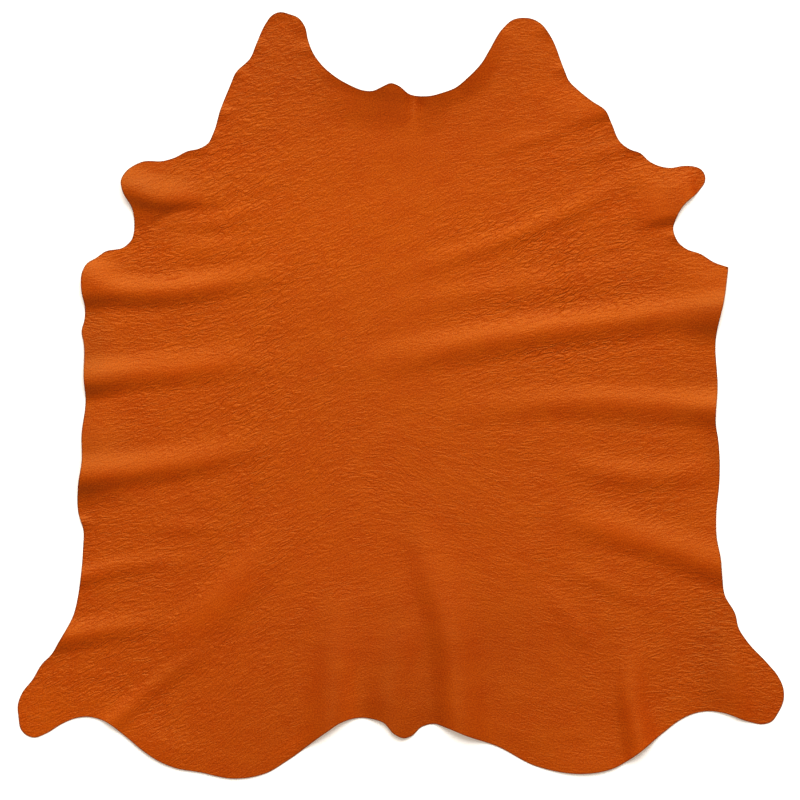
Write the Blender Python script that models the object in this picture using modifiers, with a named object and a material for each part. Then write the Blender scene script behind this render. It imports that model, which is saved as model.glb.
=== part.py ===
"""A whole leather hide, laid out on the ground with its grain side up (Blender 4.5, metres, +Z up).

The hide is one sheet of even thickness with the outline of a trimmed cattle hide: neck at +Y,
tail at -Y. EDGE holds the outline and FOLDS the soft folds that run in from the belly edges.
Between the folds the sheet lies flat on the ground, at z = 0. The origin is under the middle.
"""

import math

import bpy
import numpy as np
from mathutils import Vector, kdtree
from mathutils.geometry import delaunay_2d_cdt

MM = 0.001

# Driving dimensions, in millimetres.
THICKNESS = 1.6        # upholstery leather
EDGE_PITCH = 30.0      # between points along the cut edge
FINE_PITCH = 31.5      # between points on a fold
COARSE_EVERY = 3       # where the sheet lies flat, one fine row and column in three is kept
CREST_PITCH = 30.0     # between points along the crest of a fold
FLAT_BELOW = 0.3       # a fold lower than this counts as flat
FOLD_CLEARANCE = 0.7   # of FINE_PITCH, from the cut edge to the nearest point on a fold
FLAT_CLEARANCE = 1.2   # the same, for a point where the sheet lies flat
SAME_POINT = 0.0001    # points closer than this are one
INSIDE_ONLY = 1        # the triangulation keeps the triangles inside the outline

LEATHER_COLOUR = (0.49, 0.072, 0.006, 1.0)
LEATHER_ROUGHNESS = 0.48

# The cut edge, in millimetres: columns x, y. It is walked anticlockwise from the one sharp corner,
# at the right elbow, over the neck and back to that corner.
EDGE = {
    "right elbow": ((981, 384), (938, 399), (898, 424), (852, 441), (833, 457)),
    "right shank": (
        (816, 504), (826, 534), (840, 560), (896, 617), (911, 640), (911, 660), (900, 677),
        (875, 687), (848, 688), (805, 682), (772, 688), (744, 702), (718, 726), (685, 738),
    ),
    "right cheek": (
        (661, 755), (630, 818), (614, 852), (572, 882), (530, 916), (503, 944), (490, 974),
        (445, 1082), (423, 1111), (395, 1128), (368, 1132), (335, 1126), (305, 1100), (262, 1030),
    ),
    "neck": (
        (245, 1001), (200, 952), (163, 922), (125, 907), (85, 897), (52, 897), (22, 904), (-2, 924),
        (-30, 935), (-55, 925), (-85, 912), (-115, 914), (-150, 928), (-205, 961), (-243, 997),
    ),
    "left cheek": (
        (-265, 1030), (-278, 1064), (-288, 1106), (-308, 1132), (-335, 1143), (-362, 1149),
        (-387, 1139), (-404, 1117), (-435, 1050), (-450, 1014), (-498, 963), (-510, 934),
        (-541, 857), (-563, 785), (-578, 756),
    ),
    "left shank": (
        (-602, 741), (-640, 732), (-680, 712), (-710, 703), (-775, 700), (-800, 689), (-826, 668),
        (-839, 642), (-834, 613), (-806, 562), (-799, 510), (-808, 466),
    ),
    "left elbow": ((-830, 445), (-887, 431), (-915, 411), (-940, 396), (-954, 372), (-958, 325)),
    "left flank": (
        (-947, 260), (-948, 230), (-957, 192), (-951, 158), (-950, 50), (-945, -14), (-957, -120),
        (-956, -195), (-968, -280), (-967, -352), (-952, -402), (-953, -460), (-963, -570),
    ),
    "left hind leg": (
        (-982, -658), (-1027, -741), (-1048, -776), (-1075, -803), (-1105, -852), (-1136, -892),
        (-1148, -925), (-1146, -965), (-1139, -1000), (-1120, -1019), (-1097, -1025),
        (-1068, -1015), (-1010, -981), (-975, -967), (-935, -963),
    ),
    "left rump": (
        (-900, -971), (-823, -1023), (-775, -1063), (-731, -1093), (-680, -1115), (-603, -1129),
        (-503, -1148), (-455, -1145), (-400, -1130), (-343, -1096), (-222, -1008), (-179, -980),
    ),
    "tail": (
        (-125, -966), (-83, -970), (-53, -980), (-20, -1015), (8, -1027), (30, -1021), (62, -993),
        (98, -984),
    ),
    "right rump": (
        (138, -996), (191, -1018), (290, -1052), (400, -1109), (440, -1121), (545, -1134),
        (600, -1128), (640, -1116), (680, -1094), (785, -1011), (835, -973), (875, -954),
    ),
    "right hind leg": (
        (925, -946), (965, -951), (1040, -977), (1085, -985), (1109, -978), (1130, -951),
        (1147, -910), (1146, -878), (1130, -841), (1096, -800), (1036, -735), (1012, -697),
        (1002, -655), (970, -597),
    ),
    "right flank": (
        (963, -548), (958, -490), (946, -425), (945, -355), (954, -260), (950, -127), (944, -92),
        (949, 30), (943, 166), (970, 298),
    ),
}

# The folds, in millimetres, a row for each. A fold is a soft ridge along its crest, which starts in
# the west, or in the south where it runs along the body. Columns: the start, middle and end of the
# crest, each as (x, y, height), and how far the fold reaches to the crest's (left, right).
FOLDS = {
    "left shank": ((-860, 628, 13), (-730, 589, 15), (-550, 600, 3), (84, 48)),
    "under the left shank": ((-860, 604, 16), (-770, 587, 14), (-680, 584, 0), (400, 112)),
    "left brisket": ((-690, 498, 0), (-550, 520, 4), (-400, 570, 0), (36, 34)),
    "left elbow": ((-770, 470, 0), (-600, 442, 4), (-420, 446, 0), (44, 60)),
    "left elbow tip": ((-1000, 374, 13), (-930, 368, 11), (-850, 345, 0), (64, 62)),
    "left fore flank": ((-985, 312, 10), (-700, 312, 15), (-330, 378, 0), (66, 58)),
    "left fore flank, edge": ((-1000, 302, 14), (-920, 311, 11), (-830, 322, 0), (200, 76)),
    "left mid flank": ((-980, 42, 12), (-700, 74, 12), (-350, 115, 0), (76, 64)),
    "left mid flank, edge": ((-1000, 36, 17), (-920, 41, 14), (-820, 57, 0), (240, 62)),
    "left hind flank": ((-985, -246, 13), (-660, -207, 12), (-370, -138, 0), (78, 60)),
    "left hind flank, edge": ((-1000, -247, 17), (-930, -248, 16), (-820, -238, 0), (300, 98)),
    "left ribs": ((-760, -402, 0), (-650, -397, 3), (-520, -394, 0), (40, 34)),
    "left stifle": ((-990, -550, 10), (-820, -510, 5), (-560, -488, 0), (44, 44)),
    "left thigh": ((-1090, -738, 14), (-880, -703, 9), (-690, -676, 0), (60, 54)),
    "left hock": ((-890, -1000, 8), (-730, -862, 7), (-540, -735, 0), (42, 50)),
    "left loin": ((-730, -770, 0), (-530, -590, 11), (-340, -360, 0), (76, 116)),
    "left rump edge": ((-935, -955, 2), (-790, -1052, 7), (-610, -1132, 2), (120, 90)),
    "left rump tip": ((-640, -1124, 0), (-505, -1152, 3), (-390, -1130, 0), (100, 90)),
    "left haunch": ((-214, -1025, 22), (-204, -850, 15), (-190, -600, 0), (100, 100)),
    "left of the tail": ((-32, -1015, 16), (-40, -880, 12), (15, -640, 0), (90, 90)),
    "left tail notch": ((-330, -1090, 0), (-215, -1003, 2), (-55, -978, 0), (105, 80)),
    "neck, left edge": ((-270, 1040, 0), (-110, 980, 16), (110, 950, 4), (40, 90)),
    "neck, middle": ((-220, 966, 4), (-70, 942, 21), (110, 925, 8), (60, 156)),
    "neck pleat": ((38, 800, 0), (38, 860, -8), (38, 925, -16), (32, 32)),
    "neck, right edge": ((75, 912, 8), (185, 962, 20), (272, 1100, 9), (40, 88)),
    "right cheek": ((400, 820, 0), (530, 836, 6), (650, 860, 15), (110, 44)),
    "right neck": ((250, 730, 0), (410, 773, 3), (580, 820, 0), (36, 34)),
    "right throat": ((450, 690, 0), (570, 720, 3), (710, 757, 5), (48, 34)),
    "right shoulder": ((-90, 338, 0), (400, 503, 6), (760, 680, 1), (50, 46)),
    "right shank": ((705, 514, 0), (768, 534, 12), (870, 551, 15), (190, 37)),
    "right brisket": ((-60, 262, 0), (340, 322, 5), (860, 410, 0), (56, 70)),
    "right fore flank": ((-200, 74, 0), (400, 189, 15), (1000, 262, 9), (72, 76)),
    "right elbow": ((850, 232, 0), (930, 236, 13), (1010, 238, 19), (240, 104)),
    "right mid flank": ((90, -58, 0), (520, -20, 8), (980, -42, 10), (66, 68)),
    "right hind flank": ((450, -185, 0), (690, -238, 7), (930, -226, 2), (60, 60)),
    "right stifle": ((450, -348, 0), (690, -424, 11), (1000, -524, 8), (90, 66)),
    "right stifle, edge": ((800, -484, 0), (900, -512, 5), (1010, -536, 8), (260, 64)),
    "right thigh": ((450, -490, 0), (620, -567, 2), (800, -640, 0), (38, 40)),
    "right buttock": ((545, -720, 3), (490, -640, 3), (430, -575, 0), (56, 40)),
    "right of the tail": ((172, -1020, 24), (150, -740, 16), (40, -380, 0), (84, 112)),
    "right tail notch": ((95, -983, 0), (215, -1026, 2), (360, -1094, 0), (105, 80)),
    "right hock": ((722, -1080, 23), (694, -920, 15), (685, -690, 0), (64, 72)),
    "right leg": ((1012, -960, 8), (1000, -850, 9), (985, -690, 0), (110, 60)),
    "right rump tip": ((430, -1120, 0), (545, -1137, 6), (650, -1112, 3), (100, 90)),
    "right rump edge": ((620, -1124, 2), (750, -1038, 3), (915, -944, 0), (105, 80)),
}


def smooth(rows, pitch):
    """The rows, with more laid between them about every `pitch`, on a curve through all of them.

    Each row's first two columns are its place; any other column follows the same curve.
    """
    rows = np.array(rows, float)
    steps = np.diff(rows, axis=0)
    lengths = np.linalg.norm(steps[:, :2], axis=1)[:, None]
    slopes = steps / lengths
    inner = (slopes[:-1] * lengths[1:] + slopes[1:] * lengths[:-1]) / (lengths[:-1] + lengths[1:])
    tangents = np.vstack((slopes[:1], inner, slopes[-1:]))
    laid = []
    for i, length in enumerate(lengths[:, 0]):
        count = max(1, round(length / pitch))
        t = (np.arange(count) / count)[:, None]
        laid.append(
            rows[i] * (1 + 2 * t) * (1 - t) ** 2
            + rows[i + 1] * (3 - 2 * t) * t ** 2
            + tangents[i] * length * t * (1 - t) ** 2
            - tangents[i + 1] * length * (1 - t) * t ** 2
        )
    laid.append(rows[-1:])
    return np.vstack(laid)


def ridge(points, start, middle, end, reach):
    """How far one fold lifts each point: a soft ridge, highest on its crest and flat past its reach."""
    crest = smooth((start, middle, end), CREST_PITCH)
    lift = np.zeros(len(points))
    for here, there in zip(crest[:-1], crest[1:]):
        along = there[:2] - here[:2]
        share = np.clip((points - here[:2]) @ along / (along @ along), 0, 1)[:, None]
        nearest = here + share * (there - here)
        off = points - nearest[:, :2]
        length = np.linalg.norm(along)
        sideways = (along[0] * off[:, 1] - along[1] * off[:, 0]) / length
        beyond = off @ along / length
        across = np.hypot(sideways / np.where(sideways > 0, *reach), beyond / min(reach))
        slope = (1 + np.cos(math.pi * np.minimum(across, 1))) / 2
        lift = np.maximum(lift, nearest[:, 2] * slope)
    return lift


def lifted(points):
    """Height of the sheet's underside over the ground at each point."""
    return sum(ridge(points, *fold) for fold in FOLDS.values())


def outline():
    """The cut edge as an anticlockwise loop of points, without the first point again at its end."""
    landmarks = [point for stretch in EDGE.values() for point in stretch]
    return smooth(landmarks + landmarks[:1], EDGE_PITCH)[:-1]


def inside_points(edge):
    """Points for the inside of the sheet: close together on the folds, and far apart where it is flat."""
    row_pitch = FINE_PITCH * math.sqrt(3) / 2
    low = edge.min(axis=0)
    columns, rows = np.ceil((edge.max(axis=0) - low) / (FINE_PITCH, row_pitch)).astype(int)
    tree = kdtree.KDTree(len(edge))
    for i, point in enumerate(edge):
        tree.insert((*point, 0), i)
    tree.balance()
    chosen = []
    for row in range(rows):
        for column in range(columns):
            point = low + ((column + row % 2 / 2) * FINE_PITCH, row * row_pitch)
            coarse = row % COARSE_EVERY == 0 and column % COARSE_EVERY == 0
            chosen.append((*point, coarse, tree.find((*point, 0))[2]))
    chosen = np.array(chosen)
    on_fold = lifted(chosen[:, :2]) > FLAT_BELOW
    clear_of_edge = chosen[:, 3] > np.where(on_fold, FOLD_CLEARANCE, FLAT_CLEARANCE) * FINE_PITCH
    return chosen[clear_of_edge & (on_fold | (chosen[:, 2] > 0)), :2]


def underside(name):
    """Mesh of the sheet's underside: the outline filled with triangles and lifted over the folds."""
    edge = outline()
    places = np.vstack((edge, inside_points(edge)))
    vectors = [Vector(place) for place in places]
    found = delaunay_2d_cdt(vectors, [], [range(len(edge))], INSIDE_ONLY, SAME_POINT)
    flat, triangles = np.array([tuple(place) for place in found[0]]), found[2]
    used = sorted({corner for triangle in triangles for corner in triangle})
    number = {corner: i for i, corner in enumerate(used)}
    flat = flat[used]
    points = np.column_stack((flat, lifted(flat))) * MM
    mesh = bpy.data.meshes.new(name)
    mesh.from_pydata(points.tolist(), [], [[number[corner] for corner in t] for t in triangles])
    return mesh


def leather():
    """Smooth aniline-dyed leather, burnt orange."""
    material = bpy.data.materials.new("leather")
    material.use_nodes = True
    shader = material.node_tree.nodes["Principled BSDF"]
    shader.inputs["Base Color"].default_value = LEATHER_COLOUR
    shader.inputs["Roughness"].default_value = LEATHER_ROUGHNESS
    shader.inputs["Metallic"].default_value = 0.0
    return material


def hide(collection):
    """The hide: its underside, thickened upwards to the leather's thickness."""
    mesh = underside("hide")
    mesh.shade_smooth()
    mesh.materials.append(leather())
    sheet = bpy.data.objects.new("hide", mesh)
    collection.objects.link(sheet)
    thicken = sheet.modifiers.new("thickness", "SOLIDIFY")
    thicken.thickness = THICKNESS * MM
    thicken.offset = 1.0
    thicken.use_even_offset = True
    return sheet


def main():
    for old in list(bpy.data.objects):
        bpy.data.objects.remove(old, do_unlink=True)
    collection = bpy.data.collections.new("leather hide")
    bpy.context.scene.collection.children.link(collection)
    hide(collection)


main()
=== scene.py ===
# %% [markdown]
# # A whole leather hide, laid out on the ground
# On the real object this is upholstery leather, the whole of one cattle hide: soft, dyed burnt
# orange right through, with a smooth grain side up and a suede flesh side down. It lies
# flat apart from soft folds, which run in from the belly edges, and the fine wrinkles of the skin.
# The measured solid of the hide is loaded first. It stays fixed, and the leather is laid over it.

# %% Load the solid that the leather follows
import math

import bpy
import numpy as np
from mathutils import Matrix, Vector, kdtree, noise
from mathutils.geometry import delaunay_2d_cdt


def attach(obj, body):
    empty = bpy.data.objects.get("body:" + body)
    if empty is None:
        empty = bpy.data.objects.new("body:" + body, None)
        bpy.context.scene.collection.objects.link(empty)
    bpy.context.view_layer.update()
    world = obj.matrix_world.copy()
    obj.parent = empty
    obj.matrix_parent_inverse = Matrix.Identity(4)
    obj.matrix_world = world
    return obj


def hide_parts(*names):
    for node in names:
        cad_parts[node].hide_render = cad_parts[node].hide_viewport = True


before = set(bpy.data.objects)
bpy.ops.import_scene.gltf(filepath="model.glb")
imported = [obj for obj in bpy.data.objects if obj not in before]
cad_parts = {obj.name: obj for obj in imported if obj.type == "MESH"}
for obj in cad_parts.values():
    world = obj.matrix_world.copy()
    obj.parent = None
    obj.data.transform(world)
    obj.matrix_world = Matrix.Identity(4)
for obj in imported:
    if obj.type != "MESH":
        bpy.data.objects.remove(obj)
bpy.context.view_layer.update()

bpy.ops.object.select_all(action="DESELECT")
MM = 0.001

# %% [markdown]
# ## The camera
# A hide is shown best from straight above, because its outline is what a buyer cuts from. A very
# long lens, far up, sees all of it at one scale and under one angle. An orthographic camera would
# too, but the same lens then also gives natural views from the side.

# %% Camera, straight above
LENS = 300.0  # millimetres
GROUND_SEEN = 2.397  # metres of ground across the view
VIEW_CENTRE = (-3 * MM, -13.5 * MM)

bpy.ops.object.camera_add()
camera = bpy.context.object
camera.data.lens = LENS
camera.location = (*VIEW_CENTRE, GROUND_SEEN * LENS / camera.data.sensor_width)
camera.rotation_euler = (0, 0, 0)
bpy.context.scene.camera = camera
print("camera height:", round(camera.location.z, 3), "m")

# %% [markdown]
# ## The ground and the light
# The hide lies on a plain white studio table, which is lit from below too, as such tables are, so
# that shadows on it are faint. Relief this low only shows if light comes in from one side, so there
# is one large soft lamp beyond the neck. It stands far off, so that both ends of the hide get the
# same light. A small one overhead lifts the middle, and an even white room fills the shadows. The
# table top sits a hair under the leather.

# %% White floor
FLOOR_SIZE = 60.0
FLOOR_GAP = 0.3 * MM
FLOOR_COLOUR = (0.95, 0.92, 0.88, 1.0)
FLOOR_GLOW = (0.22, 0.18, 0.13, 1.0)  # the light from below

bpy.ops.mesh.primitive_plane_add(size=FLOOR_SIZE, location=(0, 0, -FLOOR_GAP))
floor = bpy.context.object
floor.name = "floor"
floor_paint = bpy.data.materials.new("white floor")
floor_paint.use_nodes = True
floor_shader = floor_paint.node_tree.nodes["Principled BSDF"]
floor_shader.inputs["Base Color"].default_value = FLOOR_COLOUR
floor_shader.inputs["Roughness"].default_value = 0.9
floor_shader.inputs["Emission Color"].default_value = FLOOR_GLOW
floor_shader.inputs["Emission Strength"].default_value = 1.0
floor_shader.inputs["Specular IOR Level"].default_value = 0.0
floor.data.materials.append(floor_paint)
bpy.ops.object.select_all(action="DESELECT")
print("floor:", FLOOR_SIZE, "m")

# %% A soft lamp beyond the neck, one overhead, and the white room
ROOM_LIGHT = 0.32


def soft_lamp(name, place, aim, size, power):
    """A round lamp at a place, turned to its aim."""
    bpy.ops.object.light_add(type="AREA", location=place)
    lamp = bpy.context.object
    lamp.name = name
    lamp.rotation_euler = (Vector(place) - Vector(aim)).to_track_quat("Z", "Y").to_euler()
    lamp.data.shape = "DISK"
    lamp.data.size = size
    lamp.data.energy = power
    lamp.visible_camera = False


def way(turn, rise):
    """The direction at this turn from +X and this rise above the ground, in degrees."""
    turn, rise = math.radians(turn), math.radians(rise)
    flat = math.cos(rise)
    return Vector((math.cos(turn) * flat, math.sin(turn) * flat, math.sin(rise)))


soft_lamp("key", way(86, 44) * 30.0, (0, 0, 0), size=30.0, power=15650.0)
soft_lamp("overhead", (0.0, -0.1, 3.0), (0.0, -0.1, 0), size=2.0, power=10.0)

room = bpy.data.worlds.new("white room")
room.use_nodes = True
room.node_tree.nodes["Background"].inputs["Color"].default_value = (1, 1, 1, 1)
room.node_tree.nodes["Background"].inputs["Strength"].default_value = ROOM_LIGHT
bpy.context.scene.world = room
bpy.context.scene.view_settings.view_transform = "Standard"

# %% [markdown]
# ## The cut edge
# A hide is trimmed by hand with a knife, so its edge is a run of soft curves with one sharp corner
# at the right elbow. It could be a curve object, but the fold heights need points all over the
# sheet, so the edge is a short list of places, in millimetres, and a function that draws a smooth
# line through them. The same list cuts the solid.

# %% The edge as named stretches of places, anticlockwise
EDGE = {
    "right elbow": ((981, 384), (938, 399), (898, 424), (852, 441), (833, 457)),
    "right shank": (
        (816, 504), (826, 534), (840, 560), (896, 617), (911, 640), (911, 660), (900, 677),
        (875, 687), (848, 688), (805, 682), (772, 688), (744, 702), (718, 726), (685, 738),
    ),
    "right cheek": (
        (661, 755), (630, 818), (614, 852), (572, 882), (530, 916), (503, 944), (490, 974),
        (445, 1082), (423, 1111), (395, 1128), (368, 1132), (335, 1126), (305, 1100), (262, 1030),
    ),
    "neck": (
        (245, 1001), (200, 952), (163, 922), (125, 907), (85, 897), (52, 897), (22, 904), (-2, 924),
        (-30, 935), (-55, 925), (-85, 912), (-115, 914), (-150, 928), (-205, 961), (-243, 997),
    ),
    "left cheek": (
        (-265, 1030), (-278, 1064), (-288, 1106), (-308, 1132), (-335, 1143), (-362, 1149),
        (-387, 1139), (-404, 1117), (-435, 1050), (-450, 1014), (-498, 963), (-510, 934),
        (-541, 857), (-563, 785), (-578, 756),
    ),
    "left shank": (
        (-602, 741), (-640, 732), (-680, 712), (-710, 703), (-775, 700), (-800, 689), (-826, 668),
        (-839, 642), (-834, 613), (-806, 562), (-799, 510), (-808, 466),
    ),
    "left elbow": ((-830, 445), (-887, 431), (-915, 411), (-940, 396), (-954, 372), (-958, 325)),
    "left flank": (
        (-947, 260), (-948, 230), (-957, 192), (-951, 158), (-950, 50), (-945, -14), (-957, -120),
        (-956, -195), (-968, -280), (-967, -352), (-952, -402), (-953, -460), (-963, -570),
    ),
    "left hind leg": (
        (-982, -658), (-1027, -741), (-1048, -776), (-1075, -803), (-1105, -852), (-1136, -892),
        (-1148, -925), (-1146, -965), (-1139, -1000), (-1120, -1019), (-1097, -1025),
        (-1068, -1015), (-1010, -981), (-975, -967), (-935, -963),
    ),
    "left rump": (
        (-900, -971), (-823, -1023), (-775, -1063), (-731, -1093), (-680, -1115), (-603, -1129),
        (-503, -1148), (-455, -1145), (-400, -1130), (-343, -1096), (-222, -1008), (-179, -980),
    ),
    "tail": (
        (-125, -966), (-83, -970), (-53, -980), (-20, -1015), (8, -1027), (30, -1021), (62, -993),
        (98, -984),
    ),
    "right rump": (
        (138, -996), (191, -1018), (290, -1052), (400, -1109), (440, -1121), (545, -1134),
        (600, -1128), (640, -1116), (680, -1094), (785, -1011), (835, -973), (875, -954),
    ),
    "right hind leg": (
        (925, -946), (965, -951), (1040, -977), (1085, -985), (1109, -978), (1130, -951),
        (1147, -910), (1146, -878), (1130, -841), (1096, -800), (1036, -735), (1012, -697),
        (1002, -655), (970, -597),
    ),
    "right flank": (
        (963, -548), (958, -490), (946, -425), (945, -355), (954, -260), (950, -127), (944, -92),
        (949, 30), (943, 166), (970, 298),
    ),
}
print(sum(len(stretch) for stretch in EDGE.values()), "places in", len(EDGE), "stretches")

# %% A smooth line through the places
EDGE_PITCH = 9.0  # millimetres between points along the edge


def smooth(rows, pitch):
    """The rows, with more laid between them about every `pitch`, on a curve through all of them.

    Each row's first two columns are its place; any other column follows the same curve.
    """
    rows = np.array(rows, float)
    steps = np.diff(rows, axis=0)
    lengths = np.linalg.norm(steps[:, :2], axis=1)[:, None]
    slopes = steps / lengths
    inner = (slopes[:-1] * lengths[1:] + slopes[1:] * lengths[:-1]) / (lengths[:-1] + lengths[1:])
    tangents = np.vstack((slopes[:1], inner, slopes[-1:]))
    laid = []
    for i, length in enumerate(lengths[:, 0]):
        count = max(1, round(length / pitch))
        t = (np.arange(count) / count)[:, None]
        laid.append(
            rows[i] * (1 + 2 * t) * (1 - t) ** 2
            + rows[i + 1] * (3 - 2 * t) * t ** 2
            + tangents[i] * length * t * (1 - t) ** 2
            - tangents[i + 1] * length * (1 - t) * t ** 2
        )
    laid.append(rows[-1:])
    return np.vstack(laid)


def outline():
    """The cut edge as an anticlockwise loop of points, without the first point again at its end."""
    landmarks = [point for stretch in EDGE.values() for point in stretch]
    return smooth(landmarks + landmarks[:1], EDGE_PITCH)[:-1]


edge = outline()

# %% [markdown]
# ## The folds
# The belly edges of a hide are slacker than its back, so spare leather stands up in soft folds that
# start at the edge and die out towards the spine. Each one is a crest with a height and a reach to
# either side. A raised cosine across the crest gives a round top and no kink where it meets the
# ground. Cloth simulation could make folds too, but not in chosen places.

# %% Folds: crest as start, middle and end, each (x, y, height), and its reach (left, right)
FOLDS = {
    "left shank": ((-860, 628, 13), (-730, 589, 15), (-550, 600, 3), (84, 48)),
    "under the left shank": ((-860, 604, 16), (-770, 587, 14), (-680, 584, 0), (400, 112)),
    "left brisket": ((-690, 498, 0), (-550, 520, 4), (-400, 570, 0), (36, 34)),
    "left elbow": ((-770, 470, 0), (-600, 442, 4), (-420, 446, 0), (44, 60)),
    "left elbow tip": ((-1000, 374, 13), (-930, 368, 11), (-850, 345, 0), (64, 62)),
    "left fore flank": ((-985, 312, 10), (-700, 312, 15), (-330, 378, 0), (66, 58)),
    "left fore flank, edge": ((-1000, 302, 14), (-920, 311, 11), (-830, 322, 0), (200, 76)),
    "left mid flank": ((-980, 42, 12), (-700, 74, 12), (-350, 115, 0), (76, 64)),
    "left mid flank, edge": ((-1000, 36, 17), (-920, 41, 14), (-820, 57, 0), (240, 62)),
    "left hind flank": ((-985, -246, 13), (-660, -207, 12), (-370, -138, 0), (78, 60)),
    "left hind flank, edge": ((-1000, -247, 17), (-930, -248, 16), (-820, -238, 0), (300, 98)),
    "left ribs": ((-760, -402, 0), (-650, -397, 3), (-520, -394, 0), (40, 34)),
    "left stifle": ((-990, -550, 10), (-820, -510, 5), (-560, -488, 0), (44, 44)),
    "left thigh": ((-1090, -738, 14), (-880, -703, 9), (-690, -676, 0), (60, 54)),
    "left hock": ((-890, -1000, 8), (-730, -862, 7), (-540, -735, 0), (42, 50)),
    "left loin": ((-730, -770, 0), (-530, -590, 11), (-340, -360, 0), (76, 116)),
    "left rump edge": ((-935, -955, 2), (-790, -1052, 7), (-610, -1132, 2), (120, 90)),
    "left rump tip": ((-640, -1124, 0), (-505, -1152, 3), (-390, -1130, 0), (100, 90)),
    "left haunch": ((-214, -1025, 22), (-204, -850, 15), (-190, -600, 0), (100, 100)),
    "left of the tail": ((-32, -1015, 16), (-40, -880, 12), (15, -640, 0), (90, 90)),
    "left tail notch": ((-330, -1090, 0), (-215, -1003, 2), (-55, -978, 0), (105, 80)),
    "neck, left edge": ((-270, 1040, 0), (-110, 980, 16), (110, 950, 4), (40, 90)),
    "neck, middle": ((-220, 966, 4), (-70, 942, 21), (110, 925, 8), (60, 156)),
    "neck pleat": ((38, 800, 0), (38, 860, -8), (38, 925, -16), (32, 32)),
    "neck, right edge": ((75, 912, 8), (185, 962, 20), (272, 1100, 9), (40, 88)),
    "right cheek": ((400, 820, 0), (530, 836, 6), (650, 860, 15), (110, 44)),
    "right neck": ((250, 730, 0), (410, 773, 3), (580, 820, 0), (36, 34)),
    "right throat": ((450, 690, 0), (570, 720, 3), (710, 757, 5), (48, 34)),
    "right shoulder": ((-90, 338, 0), (400, 503, 6), (760, 680, 1), (50, 46)),
    "right shank": ((705, 514, 0), (768, 534, 12), (870, 551, 15), (190, 37)),
    "right brisket": ((-60, 262, 0), (340, 322, 5), (860, 410, 0), (56, 70)),
    "right fore flank": ((-200, 74, 0), (400, 189, 15), (1000, 262, 9), (72, 76)),
    "right elbow": ((850, 232, 0), (930, 236, 13), (1010, 238, 19), (240, 104)),
    "right mid flank": ((90, -58, 0), (520, -20, 8), (980, -42, 10), (66, 68)),
    "right hind flank": ((450, -185, 0), (690, -238, 7), (930, -226, 2), (60, 60)),
    "right stifle": ((450, -348, 0), (690, -424, 11), (1000, -524, 8), (90, 66)),
    "right stifle, edge": ((800, -484, 0), (900, -512, 5), (1010, -536, 8), (260, 64)),
    "right thigh": ((450, -490, 0), (620, -567, 2), (800, -640, 0), (38, 40)),
    "right buttock": ((545, -720, 3), (490, -640, 3), (430, -575, 0), (56, 40)),
    "right of the tail": ((172, -1020, 24), (150, -740, 16), (40, -380, 0), (84, 112)),
    "right tail notch": ((95, -983, 0), (215, -1026, 2), (360, -1094, 0), (105, 80)),
    "right hock": ((722, -1080, 23), (694, -920, 15), (685, -690, 0), (64, 72)),
    "right leg": ((1012, -960, 8), (1000, -850, 9), (985, -690, 0), (110, 60)),
    "right rump tip": ((430, -1120, 0), (545, -1137, 6), (650, -1112, 3), (100, 90)),
    "right rump edge": ((620, -1124, 2), (750, -1038, 3), (915, -944, 0), (105, 80)),
}
crest_heights = [place[2] for fold in FOLDS.values() for place in fold[:3]]
print(len(FOLDS), "folds, the highest", max(crest_heights), "mm")

# %% How far one fold lifts a point
CREST_PITCH = 15.0  # millimetres between points along a crest


def ridge(points, start, middle, end, reach):
    """How far one fold lifts each point: a soft ridge, highest on its crest and flat past its reach."""
    crest = smooth((start, middle, end), CREST_PITCH)
    lift = np.zeros(len(points))
    low, high = crest[:, :2].min(axis=0) - max(reach), crest[:, :2].max(axis=0) + max(reach)
    near = np.flatnonzero(((points > low) & (points < high)).all(axis=1))
    for here, there in zip(crest[:-1], crest[1:]):
        along = there[:2] - here[:2]
        share = np.clip((points[near] - here[:2]) @ along / (along @ along), 0, 1)[:, None]
        nearest = here + share * (there - here)
        off = points[near] - nearest[:, :2]
        length = np.linalg.norm(along)
        sideways = (along[0] * off[:, 1] - along[1] * off[:, 0]) / length
        beyond = off @ along / length
        across = np.hypot(sideways / np.where(sideways > 0, *reach), beyond / min(reach))
        slope = (1 + np.cos(math.pi * np.minimum(across, 1))) / 2
        height = nearest[:, 2] * slope
        lift[near] = np.where(np.abs(height) > np.abs(lift[near]), height, lift[near])
    return lift


trial = ridge(np.array([(0.0, 25.0)]), (-100, 0, 10), (0, 0, 10), (100, 0, 10), (50, 50))
print("half its reach away, a crest 10 mm high lifts by", trial[0].round(2), "mm")

# %% [markdown]
# ## Curls and creases
# The knife leaves the cut edge free to curl, so here and there a short stretch of it stands up a
# few millimetres, and once a centimetre. These curls, and the creases that go with them, are too
# small for the solid. They are rows of the same kind as the folds, placed one by one, because a
# hide's edge is never regular.

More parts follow.
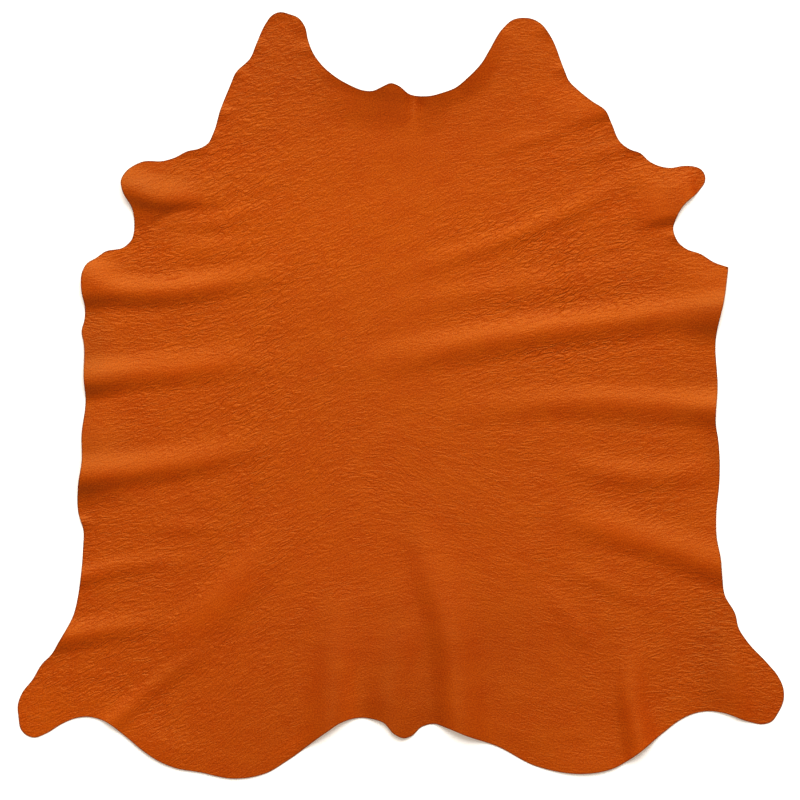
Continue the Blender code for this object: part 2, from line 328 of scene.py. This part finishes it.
# %% Curls and creases, with the same columns as the folds
CURLS = {
    "left cheek, top": ((-420, 1120, 3), (-365, 1154, 5), (-310, 1138, 3), (20, 36)),
    "left cheek, inner side": ((-335, 1116, 0), (-300, 1118, 5), (-268, 1115, 6), (24, 50)),
    "left cheek, crease": ((-335, 1030, 0), (-300, 1035, 4), (-255, 1036, 5), (30, 24)),
    "left cheek, outer side": ((-472, 1052, 6), (-440, 1052, 5), (-400, 1050, 0), (20, 38)),
    "left throat": ((-532, 970, 6), (-500, 970, 5), (-462, 966, 0), (20, 36)),
    "left neck": ((-582, 854, 7), (-548, 854, 6), (-490, 850, 0), (20, 46)),
    "left neck, corner": ((-612, 788, 8), (-578, 784, 7), (-540, 782, 0), (16, 34)),
    "left shank, top": ((-690, 740, 3), (-620, 748, 6), (-555, 752, 0), (20, 44)),
    "left elbow notch": ((-842, 486, 6), (-808, 484, 5), (-776, 482, 0), (14, 28)),
    "left mid edge": ((-990, -372, 7), (-955, -374, 6), (-918, -376, 0), (14, 32)),
    "right cheek, outer side": ((398, 1096, 0), (435, 1100, 5), (472, 1100, 6), (20, 42)),
    "right throat": ((452, 980, 0), (490, 982, 6), (524, 982, 7), (16, 36)),
    "right neck, corner": ((600, 802, 0), (650, 808, 5), (704, 800, 5), (18, 38)),
    "right shank, top": ((658, 740, 0), (700, 744, 5), (742, 746, 5), (14, 34)),
    "right elbow notch": ((788, 476, 0), (822, 480, 6), (852, 482, 7), (14, 36)),
    "right mid edge": ((840, -46, 0), (930, -48, 8), (990, -48, 11), (110, 76)),
    "left shank, crease": ((-585, 562, 0), (-680, 550, -4), (-738, 508, -4), (20, 26)),
}
print(len(CURLS), "curls and creases")

# %% [markdown]
# ## How the skin wrinkles, and the broad painted light and shade on it
# Skin wrinkles across the way it moved on the animal, so the fine wrinkles fan out from the spine
# to the bellies. Their direction and depth are charted every 250 mm, from the neck down. So are
# tone and warmth, which make broad areas lighter or darker, and yellower where lighter. They are
# partly the slow drift of the dye and partly painted light and shade. 100 is the dye's own colour,
# and a warmth over 100 is yellower. Between the crossings of a chart each is read straight off its
# neighbours. The wrinkles of the material and the puckers of the mesh both follow the direction.

# %% Charts, each row from x -1000 to 1000: degrees from +X, tenths of depth, hundredths of tone with painted shade
CHART_STEP = 250.0
CHART_WEST, CHART_NORTH = -1000.0, 1000.0

RUN = {
    "cheeks":      (20, 20, 15, 10, 15, 8, 4, 0, 0),
    "neck":        (20, 22, 25, 26, 26, 9, 14, 15, 10),
    "shoulders":   (10, 20, 30, 22, 31, 30, 32, 7, 5),
    "fore flanks": (3, 5, 22, 40, 27, 12, 26, 7, 5),
    "mid flanks":  (0, 14, 31, 32, 6, 14, 5, 8, 4),
    "hind flanks": (14, 28, 23, 45, -30, -20, 14, 16, 6),
    "loin":        (15, 8, 34, 24, 18, -20, 10, 7, 2),
    "thighs":      (36, 34, 45, 0, 10, -3, -30, 16, -9),
    "rump":        (20, 26, 40, 30, 20, -26, -8, -7, -8),
}
DEPTH = {
    "cheeks":      (4, 4, 4, 4, 3, 3, 3, 4, 4),
    "neck":        (6, 6, 7, 4, 1, 2, 4, 5, 4),
    "shoulders":   (4, 5, 5, 4, 2, 5, 6, 4, 3),
    "fore flanks": (4, 5, 5, 4, 2, 4, 9, 5, 3),
    "mid flanks":  (3, 4, 5, 4, 2, 3, 4, 3, 3),
    "hind flanks": (3, 4, 5, 4, 3, 3, 3, 4, 3),
    "loin":        (4, 4, 4, 3, 2, 2, 3, 4, 4),
    "thighs":      (5, 5, 4, 2, 1, 1, 2, 3, 5),
    "rump":        (4, 4, 3, 2, 1, 1, 2, 3, 4),
}
TONE_AND_SHADE = {
    "cheeks":      (95, 95, 93, 89, 83, 91, 97, 95, 95),
    "neck":        (101, 99, 103, 102, 99, 99, 102, 101, 101),
    "shoulders":   (103, 97, 110, 109, 108, 107, 105, 101, 101),
    "fore flanks": (100, 102, 104, 102, 102, 104, 104, 100, 98),
    "mid flanks":  (98, 101, 102, 98, 98, 98, 99, 98, 96),
    "hind flanks": (96, 99, 100, 99, 96, 96, 98, 98, 98),
    "loin":        (99, 99, 99, 98, 97, 97, 97, 97, 97),
    "thighs":      (101, 99, 97, 90, 88, 85, 91, 93, 91),
    "rump":        (112, 101, 94, 88, 78, 89, 94, 96, 96),
}
WARMTH_AND_SHADE = {
    "cheeks":      (97, 97, 94, 93, 96, 97, 98, 98, 98),
    "neck":        (96, 96, 101, 102, 96, 96, 98, 99, 99),
    "shoulders":   (101, 102, 108, 107, 106, 105, 103, 99, 99),
    "fore flanks": (100, 101, 106, 103, 104, 105, 103, 100, 100),
    "mid flanks":  (98, 99, 103, 101, 100, 101, 101, 100, 100),
    "hind flanks": (98, 98, 101, 99, 97, 98, 98, 99, 99),
    "loin":        (98, 98, 99, 95, 93, 97, 99, 99, 99),
    "thighs":      (102, 99, 96, 92, 90, 93, 95, 96, 96),
    "rump":        (108, 101, 98, 97, 98, 97, 99, 98, 98),
}
print(len(RUN), "rows in each chart:", ", ".join(RUN))

# %% Read a chart at any point
JUST_INSIDE = 1e-6  # of a step, so that a point on the last row still has a row after it


def charted(points, chart):
    """What a chart says at each point, straight between its crossings."""
    rows = np.array(list(chart.values()), float)
    last = np.array(rows.shape[::-1]) - 1
    places = np.column_stack((points[:, 0] - CHART_WEST, CHART_NORTH - points[:, 1])) / CHART_STEP
    places = np.clip(places, 0, last - JUST_INSIDE)
    column, row = places.astype(int).T
    right, down = (places % 1).T
    upper = rows[row, column] * (1 - right) + rows[row, column + 1] * right
    lower = rows[row + 1, column] * (1 - right) + rows[row + 1, column + 1] * right
    return upper * (1 - down) + lower * down


print("wrinkles at the middle run at", charted(np.zeros((1, 2)), RUN)[0], "degrees")

# %% [markdown]
# ## Painted shade and light beside the folds
# Soft streaks of colour, darker or paler, run along and beside the folds. They are painted shade and
# painted light where the folds alone do not shade enough, and in part the dye's own tone. The charts
# are too coarse for them, and a chart fine enough would be a long one. So each streak is written the
# way a fold is, with hundredths of tone, paler or darker, in place of its height.

# %% Streaks of painted shade and light, with the same columns as the folds
FOLD_SHADE_STREAKS = {
    "left shank": ((-860, 640, -13), (-780, 630, -11), (-650, 620, 0), (100, 130)),
    "left mid flank": ((-1000, 110, -9), (-900, 120, -8), (-790, 140, 0), (100, 80)),
    "left hind flank": ((-1000, -160, -10), (-890, -160, -9), (-760, -160, 0), (90, 70)),
    "right elbow": ((1010, 245, -15), (930, 245, -12), (830, 250, 0), (110, 90)),
    "left neck": ((-600, 690, 0), (-500, 712, 6), (-400, 700, 0), (60, 50)),
    "left elbow": ((-830, 446, 7), (-700, 432, 9), (-540, 424, 0), (40, 56)),
    "left haunch, dark": ((-232, -1010, -4), (-225, -800, -5), (-218, -580, -2), (50, 60)),
    "left haunch, pale": ((-150, -1000, 13), (-152, -900, 9), (-150, -740, 0), (44, 44)),
    "left of the tail": ((-60, -1000, -3), (-50, -860, -6), (-12, -640, -4), (70, 60)),
    "right of the tail": ((105, -1000, -6), (100, -720, -5), (20, -380, -4), (70, 50)),
    "left hock": ((-770, -870, -3), (-680, -820, -7), (-580, -750, 0), (50, 50)),
    "right brisket": ((560, 540, 0), (690, 556, 6), (760, 570, 0), (50, 40)),
    "right mid flank": ((1000, 50, -8), (900, 50, -7), (800, 50, 0), (60, 60)),
    "right hock": ((655, -1060, -3), (655, -940, -4), (640, -780, 0), (50, 40)),
    "left fore edge": ((-940, 80, -8), (-925, 180, -11), (-940, 270, -9), (80, 80)),
    "left hind edge": ((-950, 20, -6), (-940, -100, -4), (-950, -420, -4), (60, 60)),
    "left elbow edge": ((-985, 330, -3), (-965, 375, -7), (-930, 400, 0), (50, 60)),
    "neck rim": ((-250, 1005, 8), (-60, 925, 9), (170, 905, 8), (24, 24)),
    "left haunch rim": ((-400, -1095, 2), (-315, -1035, 11), (-258, -1000, 0), (34, 34)),
    "right hock rim": ((600, -1130, 0), (700, -1075, 9), (790, -1000, 5), (30, 30)),
    "right mid furrow": ((480, -84, 0), (680, -88, -7), (880, -92, 0), (36, 36)),
    "right hind edge": ((945, -120, -9), (948, -190, -12), (945, -250, 0), (50, 50)),
    "right leg": ((950, -960, -6), (950, -820, -8), (955, -640, -5), (110, 110)),
    "under the right elbow": ((1000, 186, -12), (925, 186, -12), (840, 190, 0), (42, 42)),
    "right fore furrow": ((620, 206, 0), (740, 213, -8), (860, 222, -3), (34, 34)),
    "right mid crest": ((770, -50, 0), (870, -47, -8), (960, -40, 0), (30, 30)),
    "left fore furrow": ((-980, 300, 0), (-860, 285, -7), (-600, 262, 0), (38, 38)),
    "left mid furrow": ((-960, 30, -4), (-880, 52, -8), (-780, 66, 0), (32, 32)),
    "left hind furrow": ((-1000, -292, -9), (-930, -294, -10), (-760, -320, -3), (36, 46)),
    "left stifle": ((-970, -546, 0), (-900, -542, 8), (-820, -538, 0), (26, 26)),
    "left of the neck": ((-300, 965, 0), (-232, 946, -8), (-150, 915, 0), (44, 44)),
    "right stifle, pale": ((500, -340, 0), (630, -415, 7), (780, -480, 2), (70, 50)),
    "left loin, pale": ((-720, -740, 0), (-560, -650, 7), (-420, -540, 3), (50, 50)),
    "left mid flank, pale": ((-780, 50, 0), (-620, 76, 6), (-440, 100, 0), (44, 44)),
    "right cheek, pale": ((330, 870, 0), (430, 920, 6), (520, 885, 3), (44, 44)),
    "right cheek, dark": ((520, 742, 0), (610, 766, -8), (700, 785, 0), (30, 30)),
    "inside the right shank": ((790, 640, -4), (838, 540, -7), (818, 430, -5), (44, 44)),
    "inside the left shank": ((-700, 650, -4), (-600, 634, -5), (-480, 640, 0), (44, 44)),
    "left hind leg": ((-1130, -830, 0), (-1050, -782, -8), (-940, -750, 0), (34, 34)),
}
print(len(FOLD_SHADE_STREAKS), "streaks")

# %% [markdown]
# ## Puckers
# Between its folds a hide never lies quite flat. Long low swells follow the wrinkles, and small
# puckers lie on them. Both are noise, stretched along the wrinkles: it is worked out once for each
# of a few directions, and each point blends the two directions nearest its own.

# %% Swells and puckers
RUN_STEP = 15.0  # degrees between the directions that are blended
RUN_ANGLES = [RUN_STEP * i for i in range(-2, 4)]
LAYER_APART = 10.5  # so that each direction has noise of its own


def stretched_noise(points, run, along, across):
    """Noise from -1 to 1, longer along the wrinkles than across them, for each point."""
    total = np.zeros(len(points))
    for layer, angle in enumerate(RUN_ANGLES):
        share = np.clip(1 - np.abs(run - angle) / RUN_STEP, 0, 1)
        turn = math.radians(angle)
        u = (points[:, 0] * math.cos(turn) + points[:, 1] * math.sin(turn)) / along
        v = (points[:, 1] * math.cos(turn) - points[:, 0] * math.sin(turn)) / across
        for i in np.flatnonzero(share):
            total[i] += share[i] * noise.noise(Vector((u[i], v[i], LAYER_APART * layer)))
    return total


SWELL = dict(height=1.6, along=260.0, across=90.0)
PUCKER = dict(height=0.65, along=80.0, across=26.0)


def unevenness(points, run):
    """Height of the swells and puckers at each point, never under the ground."""
    total = np.full(len(points), SWELL["height"] + PUCKER["height"])
    for size in (SWELL, PUCKER):
        total += size["height"] * stretched_noise(points, run, size["along"], size["across"])
    return np.maximum(total, 0)


print("directions:", RUN_ANGLES, "swells", SWELL["height"], "mm, puckers", PUCKER["height"], "mm")

# %% [markdown]
# ## The sheet
# The leather is one sheet of even thickness. Its underside is made first: points along the edge and
# an even net of points inside are joined into triangles and lifted to the folds. A grid would need
# trimming along the edge, and a filled curve makes long thin triangles, so a triangulation of
# scattered points is the better base. Solidify then adds the thickness upwards.

# %% Points of the sheet
NET_PITCH = 9.8  # millimetres
EDGE_CLEARANCE = 0.65  # of the pitch


def tree_of(loop):
    """A search tree of the edge's points."""
    tree = kdtree.KDTree(len(loop))
    for i, point in enumerate(loop):
        tree.insert((*point, 0), i)
    tree.balance()
    return tree


def net_inside(loop, tree):
    """An even net of points over the outline, clear of its edge. The outline trims what is outside."""
    row_pitch = NET_PITCH * math.sqrt(3) / 2
    low = loop.min(axis=0)
    columns, rows = np.ceil((loop.max(axis=0) - low) / (NET_PITCH, row_pitch)).astype(int)
    net = [
        low + ((column + row % 2 / 2) * NET_PITCH, row * row_pitch)
        for row in range(rows)
        for column in range(columns)
    ]
    return np.array([p for p in net if tree.find((*p, 0))[2] > EDGE_CLEARANCE * NET_PITCH])


edge_tree = tree_of(edge)
net = net_inside(edge, edge_tree)
print(len(net), "points in the net")

# %% Join the points into triangles
SAME_POINT = 0.0001  # millimetres
INSIDE_ONLY = 1  # the triangulation keeps the triangles inside the outline

vectors = [Vector(place) for place in np.vstack((edge, net))]
found = delaunay_2d_cdt(vectors, [], [range(len(edge))], INSIDE_ONLY, SAME_POINT)
found_places, found_triangles = found[0], found[2]
used = sorted({corner for triangle in found_triangles for corner in triangle})
number = {corner: i for i, corner in enumerate(used)}
triangles = [[number[corner] for corner in triangle] for triangle in found_triangles]
flat = np.array([tuple(found_places[corner]) for corner in used])
print(len(flat), "points,", len(triangles), "triangles")

# %% Lift the sheet
SETTLED = 60.0  # millimetres from the cut edge, inside which the sheet settles flatter
SETTLED_SHARE = 0.15  # what is left of its unevenness at the edge itself

run = charted(flat, RUN)
fold_lift = sum(ridge(flat, *fold) for fold in FOLDS.values())
curl_lift = sum(ridge(flat, *curl) for curl in CURLS.values())
from_edge = np.array([edge_tree.find((*p, 0))[2] for p in flat])
rough = unevenness(flat, run) * np.clip(from_edge / SETTLED, SETTLED_SHARE, 1)
height = fold_lift + curl_lift + rough
print("lifted by", height.min().round(2), "to", height.max().round(2), "mm")

# %% Make the mesh, with what the finishes need to know at each point
CREST_HEIGHT = 12.0  # millimetres; a fold this high is pulled smooth on top

mesh = bpy.data.meshes.new("leather")
mesh.from_pydata((np.column_stack((flat, height)) * MM).tolist(), [], triangles)
# the streaks are painted shade and painted light beside the folds, partly the dye's own tone
painted_fold_shade = sum(ridge(flat, *shade_streak) for shade_streak in FOLD_SHADE_STREAKS.values())
notes = {
    "run": run,
    "depth": charted(flat, DEPTH) / 10,
    "tone": charted(flat, TONE_AND_SHADE) / 100 * (1 + painted_fold_shade / 100),
    "warmth": charted(flat, WARMTH_AND_SHADE) / 100,
    "crest": np.clip(fold_lift / CREST_HEIGHT, 0, 1),
    "from_edge": from_edge * MM,
}
for name, values in notes.items():
    mesh.attributes.new(name, "FLOAT", "POINT").data.foreach_set("value", values.astype(np.float32))
leather = bpy.data.objects.new("leather", mesh)
bpy.context.collection.objects.link(leather)
print("notes at each point:", ", ".join(notes))

# %% Give it thickness: flesh side below, grain side above, cut edge between
GRAIN, FLESH, CUT = 0, 1, 2
THICKNESS = 1.6  # millimetres
SHARPEST_SMOOTH = 35  # degrees between faces, past which an edge stays sharp, as the cut one does

bpy.context.view_layer.objects.active = leather
leather.select_set(True)
thicken = leather.modifiers.new("thickness", "SOLIDIFY")
thicken.thickness = THICKNESS * MM
thicken.offset = 1.0
thicken.use_even_offset = True
thicken.material_offset = FLESH
thicken.material_offset_rim = CUT
for _ in (GRAIN, FLESH, CUT):
    leather.data.materials.append(None)
bpy.ops.object.modifier_apply(modifier=thicken.name)
bpy.ops.object.shade_smooth_by_angle(angle=math.radians(SHARPEST_SMOOTH))
print(len(leather.data.polygons), "faces in the closed sheet")

# %% [markdown]
# ## Helpers for node trees
# A node tree is quicker to read as code if one call adds a node, sets it and links it.

# %% Node helpers
def add(tree, kind, values=None, **settings):
    """Adds a node, sets it, and fills or links its inputs. Returns its outputs."""
    node = tree.nodes.new(kind)
    for name, value in settings.items():
        setattr(node, name, value)
    for socket, value in (values or {}).items():
        if isinstance(value, bpy.types.NodeSocket):
            tree.links.new(value, node.inputs[socket])
        else:
            node.inputs[socket].default_value = value
    return node.outputs


def calc(tree, operation, *values, clamp=False):
    """One Math node."""
    values = dict(enumerate(values))
    return add(tree, "ShaderNodeMath", values, operation=operation, use_clamp=clamp)[0]


def between(tree, value, low, high, to_low=0.0, to_high=1.0):
    """A value eased from one range to another, and held at its ends."""
    values = {0: value, 1: low, 2: high, 3: to_low, 4: to_high}
    return add(tree, "ShaderNodeMapRange", values, interpolation_type="SMOOTHSTEP")[0]


def mix(tree, share, one, other, blend="MIX"):
    """Two colours mixed."""
    values = {0: share, 6: one, 7: other}
    return add(tree, "ShaderNodeMix", values, data_type="RGBA", blend_type=blend)[2]


def note(tree, name):
    """What the mesh notes at each point under this name."""
    return add(tree, "ShaderNodeAttribute", attribute_name=name)["Fac"]


def new_group(name, inputs, outputs):
    """A node group with named sockets. Returns it, what comes in, and what goes out."""
    group = bpy.data.node_groups.new(name, "ShaderNodeTree")
    for socket, kind in inputs.items():
        group.interface.new_socket(socket, in_out="INPUT", socket_type=kind)
    for socket, kind in outputs.items():
        group.interface.new_socket(socket, in_out="OUTPUT", socket_type=kind)
    into, out = group.nodes.new("NodeGroupInput"), group.nodes.new("NodeGroupOutput")
    return group, into.outputs, out.inputs


def use_group(tree, group, values):
    """Places a node group in a material. Returns its outputs."""
    return add(tree, "ShaderNodeGroup", values, node_tree=group)


print("node helpers ready")

# %% [markdown]
# ## Wrinkles as an effect
# The fine wrinkles are far too many to model, so they are relief in the material. Noise that is
# stretched along the charted direction gives long low bumps, which the group hands out as grain.
# A deep wrinkle is a narrow crease between two round pads of skin: the same noise, folded at its
# middle value, gives just that, so the group hands it out as pads.

# %% Node group: wrinkles along a direction
FLOAT, VECTOR = "NodeSocketFloat", "NodeSocketVector"
CREASE_SHARPNESS = 2.4
SHIFT_X, SHIFT_Y = 0.37, 0.61  # metres, so that each direction has noise of its own

wrinkles, coming, going = new_group(
    "wrinkles",
    {"Vector": VECTOR, "Run": FLOAT, "Length": FLOAT, "Width": FLOAT},
    {"Grain": FLOAT, "Pads": FLOAT},
)
size = add(wrinkles, "ShaderNodeCombineXYZ", {0: coming["Length"], 1: coming["Width"], 2: 1.0})[0]
grain, pads = 0.0, 0.0
for layer, angle in enumerate(RUN_ANGLES):
    turned = add(wrinkles, "ShaderNodeMapping", {
        "Vector": coming["Vector"],
        "Location": (SHIFT_X * layer, SHIFT_Y * layer, 0),
        "Rotation": (0, 0, -math.radians(angle)),
    })[0]
    placed = add(wrinkles, "ShaderNodeVectorMath", {0: turned, 1: size}, operation="DIVIDE")[0]
    skin = add(wrinkles, "ShaderNodeTexNoise", {
        "Vector": placed, "Scale": 1.0, "Detail": 1.0, "Roughness": 0.5, "Distortion": 0.5,
    }, noise_dimensions="2D")["Fac"]
    folded = calc(wrinkles, "ABSOLUTE", calc(wrinkles, "MULTIPLY_ADD", skin, 2.0, -1.0))
    pad = calc(wrinkles, "MULTIPLY", folded, CREASE_SHARPNESS, clamp=True)
    apart = calc(wrinkles, "ABSOLUTE", calc(wrinkles, "SUBTRACT", coming["Run"], angle))
    share = calc(wrinkles, "SUBTRACT", 1.0, calc(wrinkles, "DIVIDE", apart, RUN_STEP), clamp=True)
    grain = calc(wrinkles, "MULTIPLY_ADD", skin, share, grain)
    pads = calc(wrinkles, "MULTIPLY_ADD", pad, share, pads)
wrinkles.links.new(grain, going["Grain"])
wrinkles.links.new(pads, going["Pads"])
print("wrinkles blend", len(RUN_ANGLES), "directions")

# %% [markdown]
# ## Mottling as an effect
# Dye takes a little differently all over a hide. Both faces need that, each in its own strength, so
# it is a group too. It gives a share that drifts slowly from place to place.

# %% Node group: mottling
mottle, coming, going = new_group("mottle", {"Vector": VECTOR, "Size": FLOAT}, {"Share": FLOAT})
scale = calc(mottle, "DIVIDE", 1.0, coming["Size"])
cloud = add(mottle, "ShaderNodeTexNoise", {
    "Vector": coming["Vector"], "Scale": scale, "Detail": 4.0, "Roughness": 0.7,
})["Fac"]
mottle.links.new(between(mottle, cloud, 0.3, 0.7), going["Share"])
print("mottle ready")

# %% [markdown]
# ## The grain side
# This is the dyed, lightly finished side that shows. Its colour drifts a little and follows the
# tone and warmth notes, with their painted light and shade. It is darker in the wrinkles, in the
# pits of the pebble and along the rim: painted shade, which in the wrinkles and pits is partly dye
# gathered there. It has a soft gloss, in its own colour, as aniline leather has. Its relief comes
# in three sizes: deep wrinkles where the chart says so, fine ones nearly everywhere, and the pebble
# of the grain. A fold's crest is stretched, so all three are shallower there.

# %% Values of the grain side
BASE_DEEP = (0.386, 0.0412, 0.0001, 1.0)
BASE_PALE = (0.407, 0.0520, 0.0004, 1.0)
CREASE_SHADE_AND_DYE = (0.85, 0.73, 0.57, 1.0)  # painted shade in a crease, partly dye gathered there: the share of each colour that a crease gives back
PIT_SHADE_AND_DYE = (0.79, 0.67, 0.52, 1.0)  # the same for a pit of the pebble: painted shade, partly dye
RIM_SHADE = (0.45, 0.42, 0.40, 1.0)  # and for the rim: painted shade where the cut edge rolls over
SHEEN_TINT = (1.0, 0.50, 0.08, 1.0)
RIM_SHADE_WIDTH = 5 * MM
DRIFT_SIZE = 100 * MM
DEEP_WRINKLE = {"Length": 40 * MM, "Width": 12 * MM}
FINE_WRINKLE = {"Length": 7 * MM, "Width": 4.5 * MM}
PEBBLE_SIZE = 4.0 * MM
PAD_RELIEF, GRAIN_RELIEF, PEBBLE_RELIEF = 2.9, 0.84, 0.40  # millimetres
PADS_ON_CREST, GRAIN_ON_CREST = 0.35, 0.75  # the share of each relief that is left on a crest
POLISHED, DULL = 0.41, 0.45  # roughness
print("dye from", BASE_DEEP[:3], "to", BASE_PALE[:3])


# %% A new material, with its tree and shader
def new_material(name):
    """A material with one Principled shader."""
    material = bpy.data.materials.new(name)
    material.use_nodes = True
    tree = material.node_tree
    return material, tree, tree.nodes["Principled BSDF"]


grain_side, tree, shader = new_material("grain side")
print(grain_side.name, "has", len(tree.nodes), "nodes to begin with")

# %% Grain side: wrinkles and pebble
place = add(tree, "ShaderNodeTexCoord")["Object"]
along = note(tree, "run")
deep_wrinkles = use_group(tree, wrinkles, {"Vector": place, "Run": along, **DEEP_WRINKLE})["Pads"]
fine_wrinkles = use_group(tree, wrinkles, {"Vector": place, "Run": along, **FINE_WRINKLE})["Grain"]
pebble = add(tree, "ShaderNodeTexNoise", {
    "Vector": place, "Scale": 1 / PEBBLE_SIZE, "Detail": 0.0,
}, noise_dimensions="2D")["Fac"]
stretched = note(tree, "crest")
depth = calc(tree, "MULTIPLY", note(tree, "depth"), between(tree, stretched, 0, 1, 1.0, PADS_ON_CREST))
print("deep wrinkles", round(DEEP_WRINKLE["Length"] / MM), "mm, pebble", round(PEBBLE_SIZE / MM), "mm")

# %% Grain side: colour and gloss
drift = use_group(tree, mottle, {"Vector": place, "Size": DRIFT_SIZE})["Share"]
colour = mix(tree, drift, BASE_DEEP, BASE_PALE)
# creases and pits: painted shade, partly dye gathered there
crease_shade = calc(tree, "MULTIPLY", calc(tree, "SUBTRACT", 1.0, deep_wrinkles), depth)
colour = mix(tree, crease_shade, colour, CREASE_SHADE_AND_DYE, "MULTIPLY")
pit_shade = between(tree, pebble, 0.35, 0.65, 1.0, 0.0)
colour = mix(tree, pit_shade, colour, PIT_SHADE_AND_DYE, "MULTIPLY")
# the tone and warmth notes carry broad painted light and shade as well as the dye
colour = mix(tree, 1.0, colour, note(tree, "tone"), "MULTIPLY")
warmth = {"Red": 1.0, "Green": note(tree, "warmth"), "Blue": 1.0}
warmth = add(tree, "ShaderNodeCombineColor", warmth)["Color"]
colour = mix(tree, 1.0, colour, warmth, "MULTIPLY")
# the rim: painted shade, a darker band where the cut edge rolls over
rim_shade = between(tree, note(tree, "from_edge"), 0.0, RIM_SHADE_WIDTH, 1.0, 0.0)
colour = mix(tree, rim_shade, colour, RIM_SHADE, "MULTIPLY")
tree.links.new(colour, shader.inputs["Base Color"])
tree.links.new(between(tree, drift, 0, 1, POLISHED, DULL), shader.inputs["Roughness"])
shader.inputs["Specular IOR Level"].default_value = 0.45
shader.inputs["Specular Tint"].default_value = SHEEN_TINT
print("colour and gloss linked")

# %% Grain side: relief
grain = calc(tree, "MULTIPLY", fine_wrinkles, GRAIN_RELIEF)
grain = calc(tree, "MULTIPLY_ADD", pebble, PEBBLE_RELIEF, grain)
grain = calc(tree, "MULTIPLY", grain, between(tree, stretched, 0, 1, 1.0, GRAIN_ON_CREST))
pads = calc(tree, "MULTIPLY", deep_wrinkles, depth)
relief = calc(tree, "MULTIPLY_ADD", pads, PAD_RELIEF, grain)
bump = add(tree, "ShaderNodeBump", {"Height": relief, "Distance": MM})[0]
tree.links.new(bump, shader.inputs["Normal"])
leather.data.materials[GRAIN] = grain_side
print(grain_side.name, "has", len(tree.nodes), "nodes")

# %% [markdown]
# ## The flesh side and the cut edge
# Underneath, the hide is buffed to a short nap. The dye goes right through but looks paler and
# duller there. The knife leaves the cut edge a dark fibrous brown.

# %% Material: flesh side
SUEDE_DEEP, SUEDE_PALE = (0.34, 0.12, 0.04, 1.0), (0.43, 0.17, 0.065, 1.0)
SUEDE_DRIFT = 60 * MM
NAP_FINENESS, NAP_RELIEF = 900.0, 0.4 * MM

flesh_side, tree, shader = new_material("flesh side")
place = add(tree, "ShaderNodeTexCoord")["Object"]
drift = use_group(tree, mottle, {"Vector": place, "Size": SUEDE_DRIFT})["Share"]
nap = {"Vector": place, "Scale": NAP_FINENESS, "Detail": 3.0}
nap = add(tree, "ShaderNodeTexNoise", nap)["Fac"]
bump = add(tree, "ShaderNodeBump", {"Height": nap, "Distance": NAP_RELIEF})[0]
tree.links.new(mix(tree, drift, SUEDE_DEEP, SUEDE_PALE), shader.inputs["Base Color"])
tree.links.new(bump, shader.inputs["Normal"])
shader.inputs["Roughness"].default_value = 0.95
leather.data.materials[FLESH] = flesh_side
print(flesh_side.name, "has", len(tree.nodes), "nodes")

# %% Material: cut edge
FIBRE_DEEP, FIBRE_PALE = (0.13, 0.030, 0.006, 1.0), (0.22, 0.055, 0.012, 1.0)
FIBRE_FINENESS = 700.0

cut_edge, tree, shader = new_material("cut edge")
place = add(tree, "ShaderNodeTexCoord")["Object"]
fibre = {"Vector": place, "Scale": FIBRE_FINENESS, "Detail": 2.0}
fibre = add(tree, "ShaderNodeTexNoise", fibre)["Fac"]
tree.links.new(mix(tree, fibre, FIBRE_DEEP, FIBRE_PALE), shader.inputs["Base Color"])
shader.inputs["Roughness"].default_value = 0.85
leather.data.materials[CUT] = cut_edge
print(cut_edge.name, "has", len(tree.nodes), "nodes")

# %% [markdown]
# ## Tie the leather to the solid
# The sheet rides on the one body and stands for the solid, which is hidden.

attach(leather, "root")
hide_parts("hide")
